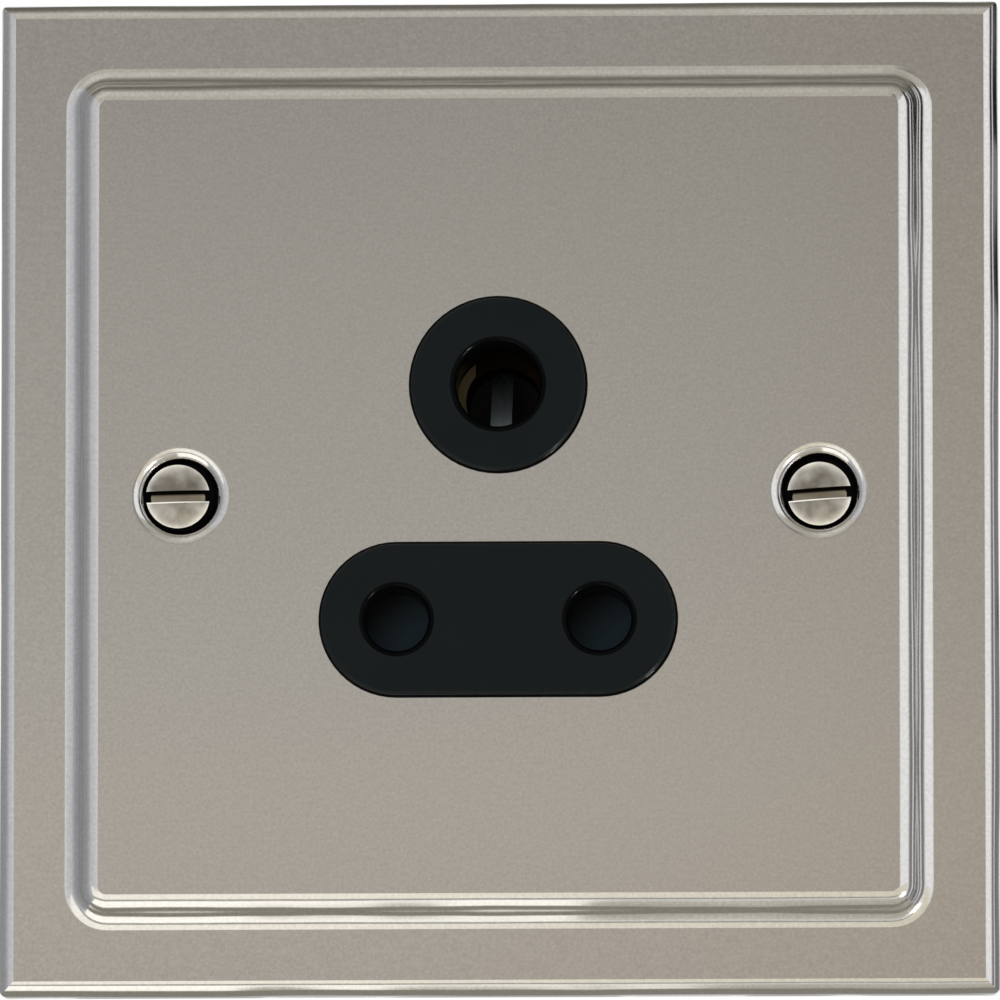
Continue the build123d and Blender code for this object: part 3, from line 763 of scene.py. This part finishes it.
def level_sheet(x, y, z):
    """Corners of a sheet that lies level, from its ends in x and y."""
    return [(x[0], y[0], z), (x[1], y[0], z), (x[1], y[1], z), (x[0], y[1], z)]


floor_ends = (-FLOOR_REACH, FLOOR_REACH)
card("floor", level_sheet(floor_ends, floor_ends, FLOOR_LEVEL), floor_paint)

# Room: a white room that the metal shows, with shaded cards that stand for its darker sides.
# The cards show only in reflections and give no light to the rest. Their shades are lists of
# places in metres along an axis, each with its colour.
ROOM_LIGHT = 0.55
world = bpy.data.worlds.new("room")
bpy.context.scene.world = world
room = Finish("room", world)
unseen = 1
for ray in ("Is Camera Ray", "Is Glossy Ray", "Is Transmission Ray"):
    unseen = unseen * (1 - room.node("ShaderNodeLightPath", output=ray))
glow = 1 - (1 - ROOM_LIGHT) * unseen
backdrop = room.node("ShaderNodeBackground", None, {"Color": (1, 1, 1, 1), "Strength": glow})
room.node("ShaderNodeOutputWorld", None, {"Surface": backdrop})


def front_sheet(x, y, z):
    """Corners of a sheet that faces the socket, from its ends in x and z."""
    return [(x[0], y, z[0]), (x[1], y, z[0]), (x[1], y, z[1]), (x[0], y, z[1])]


def side_sheet(x, y, z):
    """Corners of a sheet beside the socket, from its ends in y and z."""
    return [(x, y[0], z[0]), (x, y[1], z[0]), (x, y[1], z[1]), (x, y[0], z[1])]


def shaded_card(name, corners, **shades):
    """A card that shows only in reflections, shaded along one or two axes."""
    finish = Finish(name)
    shade = (1, 1, 1)
    for axis, stops in shades.items():
        first = stops[0][0]
        span = stops[-1][0] - first
        run = [((place - first) / span, colour) for place, colour in stops]
        share = (finish.along(axis) - first) / span
        tone = finish.node("ShaderNodeValToRGB", {"stops": run}, {"Fac": share})
        shade = finish.vector("MULTIPLY", {0: shade, 1: tone})
    finish.cover(finish.node("ShaderNodeEmission", None, {"Color": shade, "Strength": 1.0}))
    sheet = card(name, corners, finish)
    sheet.visible_camera = False
    sheet.visible_diffuse = False
    sheet.visible_transmission = False
    sheet.visible_shadow = False


front_rise = [
    (0, (0.46, 0.41, 0.365)),
    (0.013, (0.5, 0.455, 0.402)),
    (0.026, (0.545, 0.503, 0.442)),
    (0.05, (0.482, 0.459, 0.423)),
    (0.1, (0.415, 0.402, 0.367)),
    (0.123, (0.347, 0.327, 0.301)),
]
front_side = [
    (-0.02, (1, 1, 1)),
    (0.021, (0.975, 0.95, 0.92)),
    (0.034, (0.928, 0.882, 0.835)),
]
front_corners = front_sheet(x=(-0.15, 0.062), y=-0.55, z=(-0.03, 0.17))
shaded_card("front_card", front_corners, Z=front_rise, X=front_side)

right_tone = [(0, (0.24, 0.235, 0.225)), (0.3, (0.24, 0.235, 0.225))]
shaded_card("right_shade", front_sheet(x=(0.062, 0.12), y=-0.55, z=(-0.03, 0.3)), Z=right_tone)

low_tone = [(-0.5, (0.36, 0.34, 0.29)), (-0.2, (0.36, 0.34, 0.29))]
shaded_card("low_shade", front_sheet(x=(-0.7, 0.7), y=-0.5, z=(-0.35, -0.275)), Z=low_tone)

low_warmth = [(-0.12, (1, 0.975, 0.91)), (-0.03, (0.98, 0.93, 0.82)), (0.03, (0.83, 0.77, 0.64))]
shaded_card("low_glow", front_sheet(x=(-0.7, 0.7), y=-0.6, z=(-0.33, -0.032)), X=low_warmth)

left_tone = [
    (-2.2, (0.77, 0.77, 0.8)),
    (-1.1, (0.67, 0.67, 0.7)),
    (-0.5, (0.61, 0.615, 0.645)),
    (-0.3, (0.44, 0.445, 0.48)),
    (-0.12, (0.34, 0.345, 0.365)),
    (0.3, (0.34, 0.34, 0.345)),
]
shaded_card("left_card", side_sheet(x=-0.55, y=(-2.2, 0.6), z=(-0.6, 0.6)), Y=left_tone)

right_bands = [
    (-0.5, (0.95, 0.94, 0.95)),
    (-0.42, (0.9, 0.89, 0.9)),
    (-0.3, (0.26, 0.255, 0.26)),
    (-0.15, (0.22, 0.215, 0.22)),
    (-0.12, (0.86, 0.85, 0.86)),
    (-0.07, (0.86, 0.85, 0.86)),
    (-0.04, (0.2, 0.195, 0.2)),
    (0.4, (0.28, 0.275, 0.28)),
]
shaded_card("right_card", side_sheet(x=0.55, y=(-0.5, 0.6), z=(-0.6, 0.6)), Y=right_bands)

streak_rise = [
    (0.04, (0.24, 0.235, 0.24)),
    (0.1, (0.24, 0.235, 0.24)),
    (0.118, (0.012, 0.012, 0.012)),
    (0.3, (0, 0, 0)),
]
for streak, ends in (("front", (-0.31, -0.145)), ("back", (-0.045, 0.4))):
    streak_corners = side_sheet(x=0.54, y=ends, z=(0.04, 0.3))
    shaded_card("right_streak_" + streak, streak_corners, Z=streak_rise)

corner_tone = [(0.1, (0.05, 0.045, 0.045)), (0.6, (0.03, 0.03, 0.03))]
shaded_card("corner_shade", front_sheet(x=(0.3, 0.9), y=-0.2, z=(0.16, 0.6)), Z=corner_tone)

upper_tone = [
    (-2.0, (0.57, 0.545, 0.48)),
    (-0.8, (0.52, 0.497, 0.437)),
    (-0.3, (0.45, 0.427, 0.372)),
    (-0.12, (0.28, 0.266, 0.228)),
    (0.02, (0.17, 0.163, 0.138)),
    (0.25, (0.16, 0.154, 0.13)),
    (0.45, (0.17, 0.163, 0.14)),
]
shaded_card("upper_card", level_sheet(x=(-0.6, 0.6), y=(-2.0, 0.6), z=0.55), Y=upper_tone)

lower_tone = [
    (-0.6, (1, 0.98, 0.93)),
    (-0.54, (0.6, 0.57, 0.5)),
    (-0.12, (0.5, 0.48, 0.41)),
    (-0.07, (0.28, 0.265, 0.22)),
    (0.5, (0.3, 0.285, 0.26)),
]
shaded_card("lower_card", level_sheet(x=(-0.7, 0.7), y=(-0.6, 0.6), z=-0.5), Y=lower_tone)

# Lights: one large soft light high at the left and two weak warm ones low at the left.
# A small one low at the right gives the glints in the holes.
WHITE = (1, 1, 1)
LOW_WARM = (1, 0.96, 0.86)
FLOOR_WARM = (1, 0.985, 0.95)
SOCKET_MIDDLE = (0, 0, 0)


def lamp(name, place, aim, width, height, watts, colour=WHITE):
    """A soft light aimed at a point."""
    light = bpy.data.lights.new(name, "AREA")
    light.shape = "RECTANGLE"
    light.size = width
    light.size_y = height
    light.energy = watts
    light.color = colour
    holder = bpy.data.objects.new(name, light)
    bpy.context.scene.collection.objects.link(holder)
    holder.location = place
    holder.rotation_euler = (Vector(aim) - Vector(place)).to_track_quat("-Z", "Y").to_euler()
    holder.visible_camera = False


lamp(
    "key_light",
    place=(-0.5, -1.1, 1.3),
    aim=SOCKET_MIDDLE,
    width=1.0,
    height=1.0,
    watts=11,
)
lamp(
    "low_light",
    place=(-0.38, -0.58, -0.18),
    aim=(-0.38, 0, -0.18),
    width=0.7,
    height=0.28,
    watts=0.12,
    colour=LOW_WARM,
)
lamp(
    "floor_light",
    place=(-0.36, -0.36, -0.49),
    aim=(-0.36, -0.36, 0),
    width=0.68,
    height=0.46,
    watts=0.82,
    colour=FLOOR_WARM,
)
lamp(
    "glint_light",
    place=(0.6, -0.75, -0.55),
    aim=SOCKET_MIDDLE,
    width=0.12,
    height=0.12,
    watts=6.0,
)

# Camera: a long lens a little below and to the right of the socket, as the photograph was taken.
# The width of its view at the socket is the plate's own, so the plate fills the picture.
DISTANCE = 2.0
SWING = math.radians(2.2)
RISE = math.radians(-7.0)
AIM = (0.00008, -0.0022, -0.00025)
VIEW_WIDTH = 0.094
SENSOR_WIDTH = 36
VIEW_END = 50
lens = bpy.data.cameras.new("camera")
camera = bpy.data.objects.new("camera", lens)
bpy.context.scene.collection.objects.link(camera)
back = Vector((math.sin(SWING) * math.cos(RISE), -math.cos(SWING) * math.cos(RISE), math.sin(RISE)))
camera.location = Vector(AIM) + back * DISTANCE
camera.rotation_euler = (-back).to_track_quat("-Z", "Y").to_euler()
lens.sensor_width = SENSOR_WIDTH
lens.lens = SENSOR_WIDTH * DISTANCE / VIEW_WIDTH
lens.clip_end = VIEW_END
bpy.context.scene.camera = camera
bpy.context.scene.view_settings.view_transform = "Standard"
